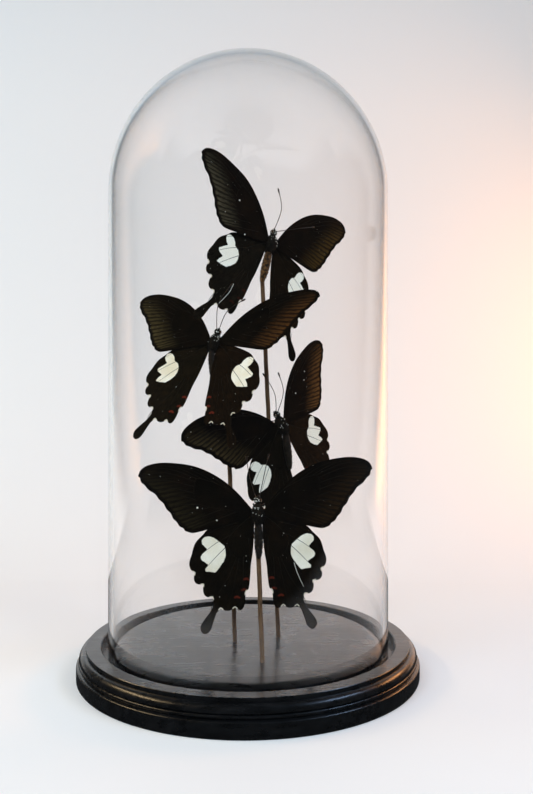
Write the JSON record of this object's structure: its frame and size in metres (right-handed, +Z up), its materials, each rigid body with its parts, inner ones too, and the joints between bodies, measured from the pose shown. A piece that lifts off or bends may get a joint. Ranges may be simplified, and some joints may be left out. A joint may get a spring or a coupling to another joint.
{
  "type": "butterflies in a glass dome",
  "caption": "Mounted swallowtail butterflies on thin sticks over a turned wooden base, under a clear glass dome with a round top.",
  "frame": {"origin": "the middle of the base's underside, on the surface it stands on", "axes": "+Z up along the dome's axis, +X to the right and +Y to the back, seen from the side that the butterflies face"},
  "size_m": [0.1828, 0.1828, 0.33],
  "materials": {
    "black_wood": "black stained, satin lacquer",
    "clear_glass": "clear blown glass",
    "stick_wood": "thin raw stick",
    "wing_scales": "black brown wing scales with white patches",
    "body_hair": "black body hair"
  },
  "bodies": {
    "root": {"wooden_base": "black_wood", "glass_dome": "clear_glass", "stick_left": "stick_wood", "stick_front": "stick_wood", "stick_right": "stick_wood", "front_butterfly_body": "body_hair", "front_butterfly_left_forewing": "wing_scales", "front_butterfly_left_hindwing": "wing_scales", "front_butterfly_right_forewing": "wing_scales", "front_butterfly_right_hindwing": "wing_scales", "left_butterfly_body": "body_hair", "left_butterfly_left_forewing": "wing_scales", "left_butterfly_left_hindwing": "wing_scales", "left_butterfly_right_forewing": "wing_scales", "left_butterfly_right_hindwing": "wing_scales", "top_butterfly_body": "body_hair", "top_butterfly_left_forewing": "wing_scales", "top_butterfly_left_hindwing": "wing_scales", "top_butterfly_right_forewing": "wing_scales", "top_butterfly_right_hindwing": "wing_scales", "right_butterfly_body": "body_hair", "right_butterfly_left_forewing": "wing_scales", "right_butterfly_left_hindwing": "wing_scales", "right_butterfly_right_forewing": "wing_scales", "right_butterfly_right_hindwing": "wing_scales"}
  },
  "joints": []
}
